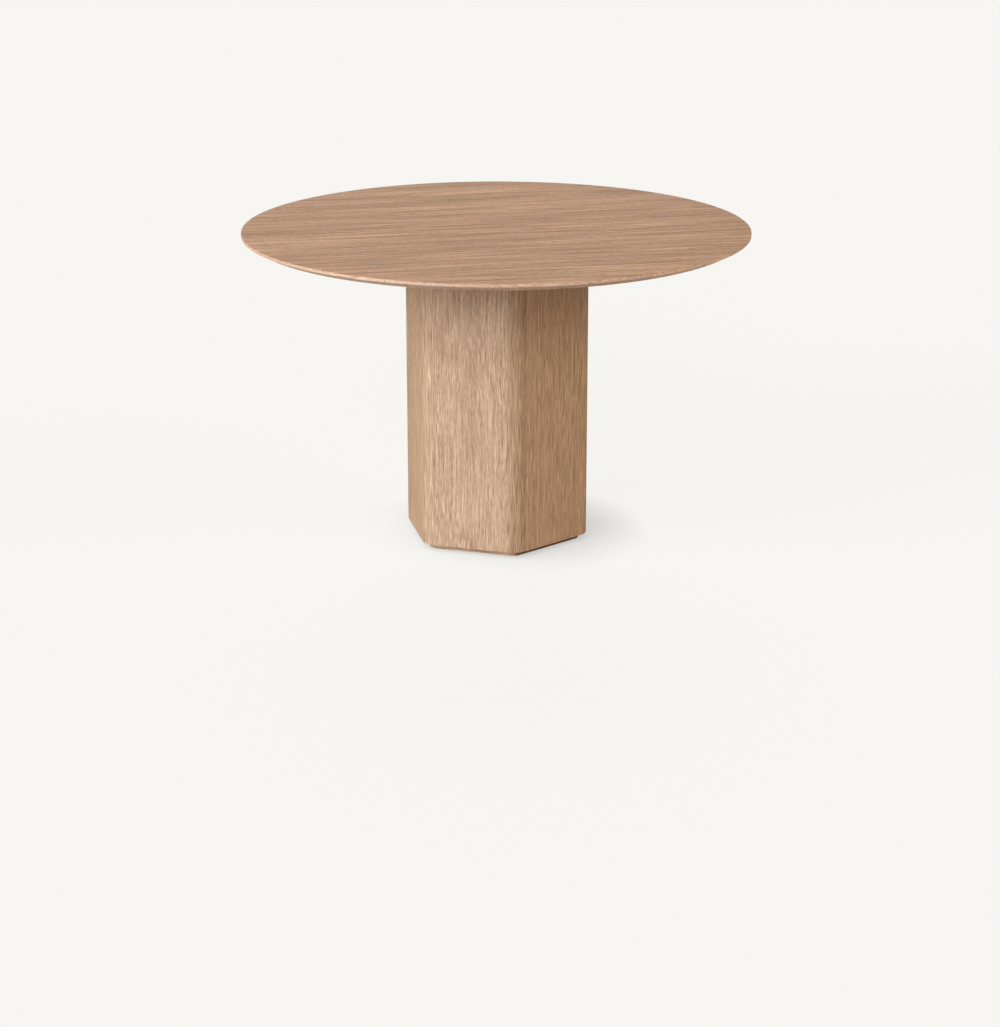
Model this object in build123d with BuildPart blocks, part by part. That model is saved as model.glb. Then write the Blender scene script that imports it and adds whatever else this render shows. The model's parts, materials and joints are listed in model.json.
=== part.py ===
from build123d import *
import os
from math import cos, pi, radians, sin, tan

# Round dining table on a hexagonal column, millimetres, +Z up.
# The origin is on the floor, on the column's axis. +X runs along the grain of the top.

# Driving dimensions
top_diameter = 1200
table_height = 750
top_thickness = 19
veneer_thickness = 0.5
top_arris = 0.4  # rounding of the veneer's upper edge
edge_height = 7  # upright edge left above the bevel
bevel_run = 24  # how far the bevel cuts in under the top
column_flats = 402  # across opposite faces of the column
corner_radius = 42
panel_thickness = 18
post_reach = 26  # from a sharp corner to the joint between post and panel
plinth_height = 14
plinth_recess = 19
floor_gap = 1.5  # under the plinth, with the feet screwed home

# Heights
top_underside = table_height - top_thickness
core_bottom = top_underside + veneer_thickness
core_top = table_height - veneer_thickness
bevel_top = table_height - edge_height
column_bottom = floor_gap + plinth_height
column_height = top_underside - column_bottom

# Top: a many-sided core, straight lipping segments turned round, veneer above and below
segments = 8
segment_angle = 360 / segments
top_radius = top_diameter / 2
underside_radius = top_radius - bevel_run
core_apothem = 528
turning_start = core_apothem / 2  # the segments are turned from here, then cut back to the core
groove_width = 4
groove_depth = 8.5
tongue_width = 16
lipping_tongue_length = 390
groove_height = (core_bottom + core_top - groove_width) / 2

# Steel plate that holds the top, with its inserts, screws and dowels
plate_thickness = 6
plate_radius = 165
plate_bottom = top_underside - plate_thickness
insert_count = 8
insert_circle = 140
insert_radius = 5
insert_length = 12
insert_bore = 3
screw_radius = 2.95
screw_head_radius = 6
screw_hole_radius = 3.3
sink_radius = 6.2  # countersink in the plate
boss_flats = 19
boss_height = 22
boss_hole_radius = 12.5
dowel_count = 3
dowel_circle = 110
dowel_radius = 5
dowel_length = 26

# Column: six panels between six posts
sides = 6
side_angle = 360 / sides
half_angle = pi / sides
column_apothem = column_flats / 2
column_corner = column_apothem / cos(half_angle)  # axis to a sharp corner
face_length = 2 * column_apothem * tan(half_angle)
panel_width = face_length - 2 * post_reach
post_out_x = column_corner - post_reach * sin(half_angle)
post_out_y = post_reach * cos(half_angle)
post_in_x = post_out_x - panel_thickness * cos(half_angle)
post_in_y = post_out_y - panel_thickness * sin(half_angle)
rounding_reach = corner_radius * tan(half_angle)  # sharp corner to where the rounding starts
rounding_x = column_corner - rounding_reach * sin(half_angle)
rounding_y = rounding_reach * cos(half_angle)
rounding_crown = column_corner - corner_radius * (1 / cos(half_angle) - 1)
tongue_setback = 20  # from each end of the panel
panel_tongue_length = column_height - 2 * tongue_setback

# Boards inside the column
board_apothem = column_apothem - panel_thickness
head_thickness = 24
rib_thickness = 15
base_thickness = 30
head_bottom = plate_bottom - head_thickness
rib_bottom = column_bottom + column_height / 2
base_top = column_bottom + base_thickness

# Shared by the fastenings
end_chamfer = 1
hex_sides = 6

# Tie rod with its washer and nut
rod_radius = 6
rod_hole_radius = 6.5
rod_end = 2.5
washer_radius = 20
washer_thickness = 3
washer_bottom = column_bottom - washer_thickness
nut_flats = 19
nut_height = 10
nut_bottom = washer_bottom - nut_height

# Ballast
disc_count = 2
disc_radius = 145
disc_thickness = 24
disc_hole_radius = 15
ballast_top = base_top + disc_count * disc_thickness
coach_count = 3
coach_circle = 95
coach_radius = 5
coach_bite = 22  # depth screwed into the base board
coach_bottom = base_top - coach_bite
coach_head_flats = 17
coach_head_height = 6.5

# Plinth
plinth_apothem = column_apothem - plinth_recess
plinth_corner_radius = 24
strip_thickness = 12
nut_pocket_radius = 30
plinth_screw_count = 6
plinth_screw_circle = 110
plinth_screw_length = 34
plinth_screw_radius = 2.5
plinth_screw_head_radius = 5

# Feet
foot_circle = 165
foot_pocket_radius = 18
pad_radius = 15
pad_height = 9
pad_round = 1.5
stud_radius = 5
stud_bottom = 3
stud_top = 58
collar_flats = 17
collar_top = 15.2
sleeve_radius = 7
sleeve_length = 25
flange_radius = 12
flange_thickness = 2
sleeve_bore = 5.05  # the stud turns in it with 0.05 to spare


def turned_plane(angle, height):
    """Level plane on the axis, with its local x turned to the given angle."""
    a = radians(angle)
    return Plane(origin=(0, 0, height), x_dir=(cos(a), sin(a), 0), z_dir=(0, 0, 1))


def face_plane(i, height):
    """Level plane on column face i: local x runs along the face, local y to the axis."""
    a = radians(i * side_angle)
    centre = (column_apothem * cos(a), column_apothem * sin(a), height)
    return Plane(origin=centre, x_dir=(-sin(a), cos(a), 0), z_dir=(0, 0, 1))


def foot_plane(i, height):
    """Level plane centred on foot i."""
    a = radians((i + 0.5) * side_angle)
    centre = (foot_circle * cos(a), foot_circle * sin(a), height)
    return Plane(origin=centre, z_dir=(0, 0, 1))


def upright_plane(angle):
    """Upright plane through the axis: local x points out at the given angle, local y up."""
    a = radians(angle)
    return Plane(origin=(0, 0, 0), x_dir=(cos(a), sin(a), 0), z_dir=(sin(a), -cos(a), 0))


def board_outline():
    """Six-sided outline that fills the column between the panels, clipped at the posts."""
    RegularPolygon(board_apothem, sides, major_radius=False, rotation=side_angle / 2)
    RegularPolygon(post_in_x, sides, major_radius=False, mode=Mode.INTERSECT)


def keep(piece, name):
    """Labels a finished piece and writes its file."""
    piece.part.label = name
    export_step(piece.part, f"parts/{name}.step")


os.makedirs("parts", exist_ok=True)


# Top

# Core with a groove in every edge and blind holes for the inserts
with BuildPart() as top_core:
    with BuildSketch(Plane.XY.offset(core_bottom)):
        RegularPolygon(core_apothem, segments, major_radius=False, rotation=segment_angle / 2)
    extrude(amount=core_top - core_bottom)
    with BuildSketch(Plane.XY.offset(groove_height)):
        with PolarLocations(core_apothem, segments):
            Rectangle(2 * groove_depth, lipping_tongue_length)
    extrude(amount=groove_width, mode=Mode.SUBTRACT)
    with BuildSketch(Plane.XY.offset(core_bottom)):
        with PolarLocations(insert_circle, insert_count):
            Circle(insert_radius)
    extrude(amount=insert_length, mode=Mode.SUBTRACT)
keep(top_core, "top_core")

# Solid lipping segments: straight inner edge, turned outer edge with the bevel below
for i in range(segments):
    with BuildPart() as edge_lipping:
        with BuildSketch(upright_plane((i - 0.5) * segment_angle)):
            with BuildLine():
                Polyline(
                    (turning_start, core_bottom),
                    (underside_radius, core_bottom),
                    (top_radius, bevel_top),
                    (top_radius, core_top),
                    (turning_start, core_top),
                    close=True,
                )
            make_face()
        revolve(axis=Axis.Z, revolution_arc=segment_angle)
        with BuildSketch(Plane.XY.offset(core_bottom)):
            RegularPolygon(core_apothem, segments, major_radius=False, rotation=segment_angle / 2)
        extrude(amount=core_top - core_bottom, mode=Mode.SUBTRACT)
        with BuildSketch(turned_plane(i * segment_angle, groove_height)):
            with Locations((core_apothem, 0)):
                Rectangle(2 * groove_depth, lipping_tongue_length)
        extrude(amount=groove_width, mode=Mode.SUBTRACT)
    keep(edge_lipping, f"edge_lipping_{i + 1}")

# Loose tongues between the core and the lipping
with BuildPart() as lipping_tongues:
    with BuildSketch(Plane.XY.offset(groove_height)):
        with PolarLocations(core_apothem, segments):
            Rectangle(tongue_width, lipping_tongue_length)
    extrude(amount=groove_width)
keep(lipping_tongues, "lipping_tongues")

# Face veneer, carried over the lipping, with its arris eased
with BuildPart() as top_veneer:
    with BuildSketch(Plane.XY.offset(core_top)):
        Circle(top_radius)
    extrude(amount=veneer_thickness)
    fillet(top_veneer.edges().group_by(Axis.Z)[-1], radius=top_arris)
keep(top_veneer, "top_veneer")

# Backing veneer, drilled for the inserts
with BuildPart() as backing_veneer:
    with BuildSketch(Plane.XY.offset(top_underside)):
        Circle(underside_radius)
        with PolarLocations(insert_circle, insert_count):
            Circle(insert_radius, mode=Mode.SUBTRACT)
    extrude(amount=veneer_thickness)
keep(backing_veneer, "backing_veneer")

# Threaded inserts in the core
with BuildPart() as top_inserts:
    with BuildSketch(Plane.XY.offset(core_bottom)):
        with PolarLocations(insert_circle, insert_count):
            Circle(insert_radius)
            Circle(insert_bore, mode=Mode.SUBTRACT)
    extrude(amount=insert_length)
keep(top_inserts, "top_inserts")


# Plate, screws, dowels and tie rod

# Steel plate with a welded hexagonal boss, tapped for the tie rod
with BuildPart() as top_plate:
    with BuildSketch(Plane.XY.offset(plate_bottom)):
        Circle(plate_radius)
        with PolarLocations(dowel_circle, dowel_count):
            Circle(dowel_radius, mode=Mode.SUBTRACT)
    extrude(amount=plate_thickness)
    with BuildSketch(Plane.XY.offset(plate_bottom)):
        RegularPolygon(boss_flats / 2, hex_sides, major_radius=False)
    extrude(amount=-boss_height)
    with Locations(Plane(origin=(0, 0, plate_bottom), x_dir=(1, 0, 0), z_dir=(0, 0, -1))):
        Hole(rod_radius)
        with PolarLocations(insert_circle, insert_count):
            CounterSinkHole(screw_hole_radius, sink_radius, counter_sink_angle=90)
keep(top_plate, "top_plate")

# Countersunk screws from the plate up into the inserts
with BuildPart() as top_screws:
    with BuildSketch(Plane.XY.offset(plate_bottom)):
        with PolarLocations(insert_circle, insert_count):
            Circle(screw_head_radius)
    extrude(amount=screw_head_radius - screw_radius, taper=45)
    with BuildSketch(Plane.XY.offset(plate_bottom)):
        with PolarLocations(insert_circle, insert_count):
            Circle(screw_radius)
    extrude(amount=plate_thickness + insert_length)
keep(top_screws, "top_screws")

# Dowels that stop the top turning on the column
with BuildPart() as locating_dowels:
    with BuildSketch(Plane.XY.offset(top_underside - dowel_length)):
        with PolarLocations(dowel_circle, dowel_count):
            Circle(dowel_radius)
    extrude(amount=dowel_length)
    chamfer(locating_dowels.edges().group_by(Axis.Z)[0], length=end_chamfer)
keep(locating_dowels, "locating_dowels")

# Rod that clamps base, column and top together
with BuildPart() as tie_rod:
    with BuildSketch(Plane.XY.offset(rod_end)):
        Circle(rod_radius)
    extrude(amount=top_underside - rod_end)
    chamfer(tie_rod.edges().group_by(Axis.Z)[0], length=end_chamfer)
keep(tie_rod, "tie_rod")

with BuildPart() as rod_washer:
    with BuildSketch(Plane.XY.offset(washer_bottom)):
        Circle(washer_radius)
        Circle(rod_hole_radius, mode=Mode.SUBTRACT)
    extrude(amount=washer_thickness)
keep(rod_washer, "rod_washer")

with BuildPart() as rod_nut:
    with BuildSketch(Plane.XY.offset(nut_bottom)):
        RegularPolygon(nut_flats / 2, hex_sides, major_radius=False)
        Circle(rod_radius, mode=Mode.SUBTRACT)
    extrude(amount=nut_height)
keep(rod_nut, "rod_nut")


# Column

# Veneered side panels, grooved along both upright edges
for i in range(sides):
    with BuildPart() as side_panel:
        with BuildSketch(face_plane(i, column_bottom)):
            Rectangle(panel_width, panel_thickness, align=(Align.CENTER, Align.MIN))
            with Locations((0, panel_thickness / 2)):
                with GridLocations(panel_width, 1, 2, 1):
                    Rectangle(2 * groove_depth, groove_width, mode=Mode.SUBTRACT)
        extrude(amount=column_height)
    keep(side_panel, f"side_panel_{i + 1}")

# Solid posts with the rounded corner, grooved to match the panels
for i in range(sides):
    with BuildPart() as corner_post:
        with BuildSketch(turned_plane((i + 0.5) * side_angle, column_bottom)):
            with BuildLine():
                Polyline(
                    (rounding_x, rounding_y),
                    (post_out_x, post_out_y),
                    (post_in_x, post_in_y),
                    (post_in_x, -post_in_y),
                    (post_out_x, -post_out_y),
                    (rounding_x, -rounding_y),
                )
                ThreePointArc((rounding_x, -rounding_y), (rounding_crown, 0), (rounding_x, rounding_y))
            make_face()
        extrude(amount=column_height)
        for face, end in ((i, 0.5), (i + 1, -0.5)):
            with BuildSketch(face_plane(face, column_bottom)):
                with Locations((end * panel_width, panel_thickness / 2)):
                    Rectangle(2 * groove_depth, groove_width)
            extrude(amount=column_height, mode=Mode.SUBTRACT)
    keep(corner_post, f"corner_post_{i + 1}")

# Loose tongues between the panels and the posts
with BuildPart() as column_tongues:
    for i in range(sides):
        with BuildSketch(face_plane(i, column_bottom + tongue_setback)):
            with Locations((0, panel_thickness / 2)):
                with GridLocations(panel_width, 1, 2, 1):
                    Rectangle(tongue_width, groove_width)
        extrude(amount=panel_tongue_length)
keep(column_tongues, "column_tongues")

# Board at the head of the column, with holes for the boss and the dowels
with BuildPart() as column_head:
    with BuildSketch(Plane.XY.offset(head_bottom)):
        board_outline()
        Circle(boss_hole_radius, mode=Mode.SUBTRACT)
    extrude(amount=head_thickness)
    with BuildSketch(Plane.XY.offset(top_underside - dowel_length)):
        with PolarLocations(dowel_circle, dowel_count):
            Circle(dowel_radius)
    extrude(amount=dowel_length, mode=Mode.SUBTRACT)
keep(column_head, "column_head")

# Stiffening rib halfway up
with BuildPart() as middle_rib:
    with BuildSketch(Plane.XY.offset(rib_bottom)):
        board_outline()
        Circle(rod_hole_radius, mode=Mode.SUBTRACT)
    extrude(amount=rib_thickness)
keep(middle_rib, "middle_rib")

# Board at the foot of the column, drilled for the rod, the foot sleeves and the screws
with BuildPart() as base_board:
    with BuildSketch(Plane.XY.offset(column_bottom)):
        board_outline()
        Circle(rod_hole_radius, mode=Mode.SUBTRACT)
        with PolarLocations(foot_circle, sides, start_angle=side_angle / 2):
            Circle(sleeve_radius, mode=Mode.SUBTRACT)
    extrude(amount=base_thickness)
    with BuildSketch(Plane.XY.offset(column_bottom)):
        with PolarLocations(foot_circle, sides, start_angle=side_angle / 2):
            Circle(flange_radius)
    extrude(amount=flange_thickness, mode=Mode.SUBTRACT)
    with BuildSketch(Plane.XY.offset(column_bottom)):
        with PolarLocations(plinth_screw_circle, plinth_screw_count):
            Circle(plinth_screw_radius)
    extrude(amount=plinth_screw_length - plinth_height, mode=Mode.SUBTRACT)
    with BuildSketch(Plane.XY.offset(coach_bottom)):
        with PolarLocations(coach_circle, coach_count, start_angle=side_angle / 2):
            Circle(coach_radius)
    extrude(amount=coach_bite, mode=Mode.SUBTRACT)
keep(base_board, "base_board")


# Ballast

# Steel discs stacked on the base board
for i in range(disc_count):
    with BuildPart() as ballast_disc:
        with BuildSketch(Plane.XY.offset(base_top + i * disc_thickness)):
            Circle(disc_radius)
            Circle(disc_hole_radius, mode=Mode.SUBTRACT)
            with PolarLocations(coach_circle, coach_count, start_angle=side_angle / 2):
                Circle(coach_radius, mode=Mode.SUBTRACT)
        extrude(amount=disc_thickness)
    keep(ballast_disc, f"ballast_disc_{i + 1}")

# Coach screws that hold the discs down
with BuildPart() as ballast_screws:
    with BuildSketch(Plane.XY.offset(coach_bottom)):
        with PolarLocations(coach_circle, coach_count, start_angle=side_angle / 2):
            Circle(coach_radius)
    extrude(amount=ballast_top - coach_bottom)
    with BuildSketch(Plane.XY.offset(ballast_top)):
        with PolarLocations(coach_circle, coach_count, start_angle=side_angle / 2):
            RegularPolygon(coach_head_flats / 2, hex_sides, major_radius=False)
    extrude(amount=coach_head_height)
keep(ballast_screws, "ballast_screws")


# Plinth

# Recessed board with pockets for the nut and the feet
with BuildPart() as plinth_core:
    with BuildSketch(Plane.XY.offset(floor_gap)):
        RegularPolygon(
            plinth_apothem - strip_thickness, sides, major_radius=False, rotation=side_angle / 2
        )
        Circle(nut_pocket_radius, mode=Mode.SUBTRACT)
        with PolarLocations(foot_circle, sides, start_angle=side_angle / 2):
            Circle(foot_pocket_radius, mode=Mode.SUBTRACT)
    extrude(amount=plinth_height)
    with Locations(Plane(origin=(0, 0, floor_gap), x_dir=(1, 0, 0), z_dir=(0, 0, -1))):
        with PolarLocations(plinth_screw_circle, plinth_screw_count):
            CounterSinkHole(plinth_screw_radius, plinth_screw_head_radius, counter_sink_angle=90)
keep(plinth_core, "plinth_core")

# Solid strips mitred round the plinth, rounded at the corners
for i in range(sides):
    with BuildPart() as plinth_strip:
        with BuildSketch(turned_plane(i * side_angle, floor_gap)) as outline:
            RegularPolygon(plinth_apothem, sides, major_radius=False, rotation=side_angle / 2)
            fillet(outline.vertices(), radius=plinth_corner_radius)
            RegularPolygon(
                plinth_apothem - strip_thickness,
                sides,
                major_radius=False,
                rotation=side_angle / 2,
                mode=Mode.SUBTRACT,
            )
            Polygon(
                (0, 0),
                (column_apothem, -column_apothem * tan(half_angle)),
                (column_apothem, column_apothem * tan(half_angle)),
                align=None,
                mode=Mode.INTERSECT,
            )
        extrude(amount=plinth_height)
    keep(plinth_strip, f"plinth_strip_{i + 1}")

# Countersunk wood screws from the plinth up into the base board
with BuildPart() as plinth_screws:
    with BuildSketch(Plane.XY.offset(floor_gap)):
        with PolarLocations(plinth_screw_circle, plinth_screw_count):
            Circle(plinth_screw_head_radius)
    extrude(amount=plinth_screw_head_radius - plinth_screw_radius, taper=45)
    with BuildSketch(Plane.XY.offset(floor_gap)):
        with PolarLocations(plinth_screw_circle, plinth_screw_count):
            Circle(plinth_screw_radius)
    extrude(amount=plinth_screw_length)
keep(plinth_screws, "plinth_screws")


# Feet

# Flanged threaded sleeves in the base board
with BuildPart() as foot_sleeves:
    with BuildSketch(Plane.XY.offset(column_bottom)):
        with PolarLocations(foot_circle, sides, start_angle=side_angle / 2):
            Circle(flange_radius)
    extrude(amount=flange_thickness)
    with BuildSketch(Plane.XY.offset(column_bottom)):
        with PolarLocations(foot_circle, sides, start_angle=side_angle / 2):
            Circle(sleeve_radius)
    extrude(amount=sleeve_length)
    with BuildSketch(Plane.XY.offset(column_bottom)):
        with PolarLocations(foot_circle, sides, start_angle=side_angle / 2):
            Circle(sleeve_bore)
    extrude(amount=sleeve_length, mode=Mode.SUBTRACT)
keep(foot_sleeves, "foot_sleeves")

for i in range(sides):
    # Stud with a hexagonal collar that meets the sleeve when the foot is screwed home
    with BuildPart() as foot_stud:
        with BuildSketch(foot_plane(i, stud_bottom)):
            Circle(stud_radius)
        extrude(amount=stud_top - stud_bottom)
        chamfer(foot_stud.edges().group_by(Axis.Z)[-1], length=end_chamfer)
        with BuildSketch(foot_plane(i, pad_height)):
            RegularPolygon(collar_flats / 2, hex_sides, major_radius=False)
        extrude(amount=collar_top - pad_height)
    keep(foot_stud, f"foot_stud_{i + 1}")

    # Moulded pad with a socket for the stud
    with BuildPart() as foot_pad:
        with BuildSketch(foot_plane(i, 0)):
            Circle(pad_radius)
        extrude(amount=pad_height)
        fillet(foot_pad.edges().group_by(Axis.Z)[0], radius=pad_round)
        chamfer(foot_pad.edges().group_by(Axis.Z)[-1], length=pad_round)
        with BuildSketch(foot_plane(i, stud_bottom)):
            Circle(stud_radius)
        extrude(amount=pad_height - stud_bottom, mode=Mode.SUBTRACT)
    keep(foot_pad, f"foot_pad_{i + 1}")
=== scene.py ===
import json
import math

import bmesh
import bpy
import numpy as np
from mathutils import Matrix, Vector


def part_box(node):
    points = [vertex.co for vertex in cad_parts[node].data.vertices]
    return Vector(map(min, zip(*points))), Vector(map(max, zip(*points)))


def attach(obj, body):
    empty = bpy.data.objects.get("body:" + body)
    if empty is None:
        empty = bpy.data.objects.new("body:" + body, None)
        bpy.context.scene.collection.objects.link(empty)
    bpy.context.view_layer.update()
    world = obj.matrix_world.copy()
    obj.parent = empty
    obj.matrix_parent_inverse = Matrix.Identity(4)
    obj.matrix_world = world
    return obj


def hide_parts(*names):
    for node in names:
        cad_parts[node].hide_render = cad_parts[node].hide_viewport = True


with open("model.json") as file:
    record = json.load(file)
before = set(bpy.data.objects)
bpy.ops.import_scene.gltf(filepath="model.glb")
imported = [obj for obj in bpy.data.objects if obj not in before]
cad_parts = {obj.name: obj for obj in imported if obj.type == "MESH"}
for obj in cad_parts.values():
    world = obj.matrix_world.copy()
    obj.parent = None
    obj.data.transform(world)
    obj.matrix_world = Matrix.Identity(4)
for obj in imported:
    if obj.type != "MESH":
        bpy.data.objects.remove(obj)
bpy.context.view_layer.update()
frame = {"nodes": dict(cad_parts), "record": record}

cadNodes = frame["nodes"]
mm = 0.001
print("frame loaded:", len(cadNodes), "nodes")


# sizes taken from the frame
topLow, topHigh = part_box("top_veneer")
backingLow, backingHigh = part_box("backing_veneer")
lippingLow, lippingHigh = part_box("edge_lipping_1")
panelLow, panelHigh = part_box("side_panel_1")
stripLow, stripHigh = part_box("plinth_strip_1")
sides, segments, feet = 6, 8, 6
sideAngle = 2 * math.pi / sides
segmentAngle = 2 * math.pi / segments


def hexagon(flats, angle):
    # distance from the middle of a hexagon to its edge, at each angle, with a corner at angle 0
    return flats / 2 / np.cos(angle % (math.pi / 3) - math.pi / 6)


def around(steps):
    # angles once round, without the repeated last one
    return np.linspace(0, 2 * math.pi, steps, endpoint=False)


def turned(radius, height, centre=(0, 0), steps=96):
    # a profile carried round an upright axis: one row for each profile point, one column for each angle
    angle = around(steps)[None, :]
    radius, height, angle = np.broadcast_arrays(radius, height, angle)
    return np.stack([centre[0] + radius * np.cos(angle), centre[1] + radius * np.sin(angle), height], -1)


def upright(section, heights):
    # a flat outline repeated at each height: one row for each height
    rows, columns = len(heights), len(section)
    points = np.empty((rows, columns, 3))
    points[:, :, :2] = section[None]
    points[:, :, 2] = np.asarray(heights)[:, None]
    return points


def roundedProfile(corners, radii, arcPoints):
    # an outline with each corner replaced by an arc that touches both of its sides
    corners = [np.array(corner, float) for corner in corners]
    points = []
    neighbours = zip(corners[-1:] + corners[:-1], corners, corners[1:] + corners[:1], radii)
    for before, corner, after, radius in neighbours:
        if radius == 0:
            points.append(corner)
            continue
        toBefore = (before - corner) / np.linalg.norm(before - corner)
        toAfter = (after - corner) / np.linalg.norm(after - corner)
        halfTurn = math.acos(np.clip(toBefore @ toAfter, -1, 1)) / 2
        middle = (toBefore + toAfter) / np.linalg.norm(toBefore + toAfter)
        centre = corner + middle * radius / math.sin(halfTurn)
        start = corner + toBefore * radius / math.tan(halfTurn) - centre
        end = corner + toAfter * radius / math.tan(halfTurn) - centre
        sweep = math.atan2(start[0] * end[1] - start[1] * end[0], start @ end)
        for share in np.linspace(0, 1, arcPoints):
            c, s = math.cos(sweep * share), math.sin(sweep * share)
            points.append(centre + np.array([c * start[0] - s * start[1], s * start[0] + c * start[1]]))
    return np.array(points)


def turn(points, angle):
    # points turned about the upright axis
    c, s = math.cos(angle), math.sin(angle)
    x, y, z = np.moveaxis(points, -1, 0)
    return np.stack([c * x - s * y, s * x + c * y, z], -1)


def addPiece(name, solids, material, body, node, sharpAngle=35):
    # each solid is a grid of points that closes along its rows; a ring also closes from last row to first,
    # and any other solid is closed by its first and last row
    corners, faces, count = [], [], 0
    for points, ring in solids:
        rows, columns = points.shape[:2]
        r, c = np.meshgrid(np.arange(rows if ring else rows - 1), np.arange(columns), indexing="ij")
        nextRow, nextColumn = (r + 1) % rows, (c + 1) % columns
        quads = np.stack([r * columns + c, r * columns + nextColumn,
                          nextRow * columns + nextColumn, nextRow * columns + c], -1)
        faces += (quads.reshape(-1, 4) + count).tolist()
        if not ring:
            faces += [(np.arange(columns) + count).tolist(),
                      (np.arange(columns) + (rows - 1) * columns + count).tolist()]
        corners.append(points.reshape(-1, 3))
        count += rows * columns
    mesh = bpy.data.meshes.new(name)
    mesh.from_pydata(np.concatenate(corners).tolist(), [], faces)
    work = bmesh.new()
    work.from_mesh(mesh)
    bmesh.ops.remove_doubles(work, verts=work.verts, dist=1e-7)  # makes one point of each row on the axis
    bmesh.ops.recalc_face_normals(work, faces=work.faces)
    work.to_mesh(mesh)
    work.free()
    mesh.shade_smooth()
    mesh.set_sharp_from_angle(angle=math.radians(sharpAngle))
    mesh.materials.append(material)
    piece = bpy.data.objects.new(name, mesh)
    bpy.context.scene.collection.objects.link(piece)
    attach(piece, body)
    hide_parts(node)
    return piece


def linear(hexColour):
    # sRGB hex to linear red, green, blue and alpha
    s = np.array([int(hexColour[i:i + 2], 16) for i in (1, 3, 5)]) / 255
    return (*np.where(s <= 0.04045, s / 12.92, ((s + 0.055) / 1.055) ** 2.4).tolist(), 1)


def addNode(tree, kind, settings=None, **inputs):
    # adds a node; an input is a number, a colour or the output of another node;
    # _0 is the first input, and a_b is the input named "a b"
    node = tree.nodes.new("ShaderNode" + kind)
    for key, value in (settings or {}).items():
        setattr(node, key, value)
    for key, value in inputs.items():
        socket = node.inputs[int(key[1:]) if key[1:].isdigit() else key.replace("_", " ")]
        if isinstance(value, bpy.types.NodeSocket):
            tree.links.new(value, socket)
        else:
            socket.default_value = value
    return node


def newMaterial(name):
    # a material with a Principled shader; gives the node tree and the shader
    material = bpy.data.materials.new(name)
    material.use_nodes = True
    tree = material.node_tree
    return material, tree, tree.nodes["Principled BSDF"]


# Oak, knife-cut veneer or planed solid, sanded and lacquered matt: straight pores and soft streaks
# along the board, growth rings that show as arches where the board is cut near the pith
oak = {
    "dark": "#75533A",
    "light": "#E1BDA1",
    "pore": "#6A4A35",
    "ringSpacing": 7 * mm,  # real rings are 2 to 4 mm apart, too fine to show, so they are drawn wider
    "poreSize": (22 * mm, 1.6 * mm),  # length and width; real pores are 0.3 mm wide, drawn coarser to show
    "poreDepth": 0.4,
    "poreLevels": (0.58, 0.74),  # how rare pores are: the noise at which one begins, and is full
    "markLevels": (0.69, 0.78),
    "drift": (1 / 2, 1 / 9),  # length and width of the slow bends in the grain
    "boardShift": 7.3,  # how far apart two boards lie in the log
    "relief": 0.2 * mm,
    "roughness": 0.58,
    "poreRoughness": 0.3,
    "specular": 0.15,
    "ior": 1.47,
}
# pith says how far the pith is from the middle of the board, across and below;
# streaks are (length, width, weight), from the broad bands of one log down to single vessels;
# marks are rare dark mineral streaks, (length, width, depth)
topCut = {**oak, "pith": (0.22, 0.30), "waver": 3 * mm, "ringWeight": 0.05, "marks": (0.2, 6 * mm, 0.4),
          "streaks": ((2.0, 110 * mm, 0.2), (1.6, 26 * mm, 0.1), (1.1, 5 * mm, 0.6),
                      (0.24, 3.5 * mm, 1.3), (14 * mm, 4 * mm, 0.4))}
crownCut = {**oak, "pith": (0.0, 0.07), "waver": 8 * mm, "ringWeight": 0.1, "marks": (80 * mm, 7 * mm, 0.12),
            "streaks": ((0.9, 50 * mm, 0.12), (0.3, 9 * mm, 0.04),
                        (120 * mm, 1 * mm, 1.25), (16 * mm, 1 * mm, 0.6))}
riftCut = {**oak, "pith": (0.22, 0.30), "waver": 3 * mm, "ringWeight": 0.08, "marks": (0.2, 7 * mm, 0.2),
           "streaks": ((0.9, 50 * mm, 0.12), (0.5, 8 * mm, 0.13),
                       (160 * mm, 3 * mm, 0.25), (50 * mm, 1 * mm, 1.1))}
postCut = {**riftCut, "streaks": (*riftCut["streaks"][:3], (50 * mm, 1 * mm, 1.4))}


def drawnOut(tree, place, length, width):
    # noise drawn out along the first axis
    drawn = addNode(tree, "Mapping", Vector=place, Scale=(1 / length, 1 / width, 1 / width))
    return drawn.outputs[0]


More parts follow.
